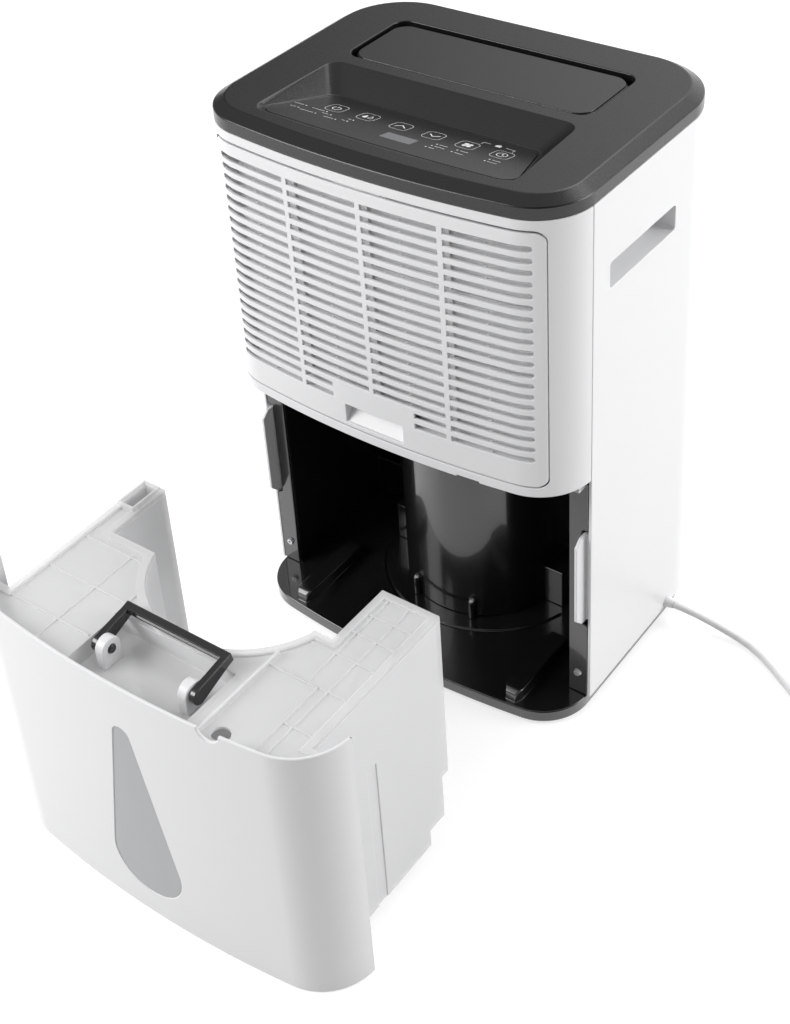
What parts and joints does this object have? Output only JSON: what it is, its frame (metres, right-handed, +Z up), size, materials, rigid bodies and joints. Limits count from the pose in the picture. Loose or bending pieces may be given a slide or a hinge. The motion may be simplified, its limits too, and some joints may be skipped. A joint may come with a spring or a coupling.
{
  "type": "dehumidifier",
  "caption": "Upright compressor dehumidifier with a charcoal lid, front air grille and a water tank with a folding handle, drawn out in front of its bay.",
  "frame": {"origin": "on the floor, in the middle of the box round the machine and its drawn-out tank, the cord left out", "axes": "+Z up, +Y from the tank to the back of the machine, +X to the right seen from the front"},
  "size_m": [0.597, 0.579, 0.51],
  "materials": {
    "white_shell": "satin",
    "white_inner": "matt",
    "charcoal": "fine satin",
    "flap_grey": "fine satin",
    "black_gloss": "gloss",
    "black_matt": "matt",
    "tank_clear": "translucent",
    "window_grey": "translucent",
    "rubber": "matt",
    "steel": "zinc plated",
    "comp_steel": "black enamel",
    "fins": "mill",
    "copper": "bright copper",
    "board": "solder resist",
    "display": "satin",
    "cord_white": "satin",
    "mesh": "woven",
    "foam": "matt",
    "clip": "translucent"
  },
  "bodies": {
    "machine": {"base_tray": "black_gloss", "rubber_feet": "rubber", "front_housing": "white_shell", "rear_housing": "white_shell", "bay_liner": "black_gloss", "liner_screws": "steel", "compressor": "comp_steel", "compressor_mounts": "rubber", "suction_accumulator": "comp_steel", "evaporator": "fins", "condenser": "fins", "refrigerant_pipes": "copper", "drip_tray": "white_inner", "fan_scroll": "white_inner", "fan_motor": "comp_steel", "outlet_guard": "black_matt", "top_lid": "charcoal", "lid_gasket": "black_matt", "control_panel": "charcoal", "display_window": "display", "control_board": "board", "electrics_box": "white_inner", "run_capacitor": "white_inner", "humidity_sensor": "white_inner", "float_sensor": "black_matt", "flap_motor": "white_inner", "drain_port": "white_inner", "drain_cap": "black_matt", "housing_screws": "steel", "panel_clips": "clip", "cord_gland": "cord_white", "power_cord": "cord_white", "cord_coil": "cord_white", "cord_tie": "black_matt", "power_plug": "cord_white"},
    "grille": {"filter_grille": "white_shell", "filter_frame": "white_inner", "filter_mesh": "mesh"},
    "flap": {"outlet_flap": "flap_grey"},
    "fan": {"fan_wheel": "black_matt"},
    "tank": {"tank_body": "tank_clear", "tank_lid": "tank_clear", "tank_cover": "white_shell", "level_window": "window_grey", "handle_brackets": "white_shell"},
    "handle": {"tank_handle": "black_gloss"},
    "float": {"tank_float": "foam"}
  },
  "joints": [
    {"name": "tank_slide", "type": "slide", "parent": "machine", "child": "tank", "axis": [0, 1, 0], "range_m": [0, 0.305]},
    {"name": "handle_fold", "type": "hinge", "parent": "tank", "child": "handle", "pos_m": [0, -0.2485, 0.232], "axis": [-1, 0, 0], "range_deg": [-80, 0]},
    {"name": "float_rise", "type": "hinge", "parent": "tank", "child": "float", "pos_m": [0.1185, -0.1385, 0.212], "axis": [-1, 0, 0], "range_deg": [0, 14]},
    {"name": "flap_swing", "type": "hinge", "parent": "machine", "child": "flap", "pos_m": [0, 0.228, 0.502], "axis": [-1, 0, 0], "range_deg": [0, 75]},
    {"name": "grille_open", "type": "hinge", "parent": "machine", "child": "grille", "pos_m": [0, 0.0251, 0.4825], "axis": [-1, 0, 0], "range_deg": [0, 25]},
    {"name": "fan_spin", "type": "hinge", "parent": "machine", "child": "fan", "pos_m": [0, 0.2, 0.362], "axis": [0, 1, 0], "continuous": true}
  ]
}
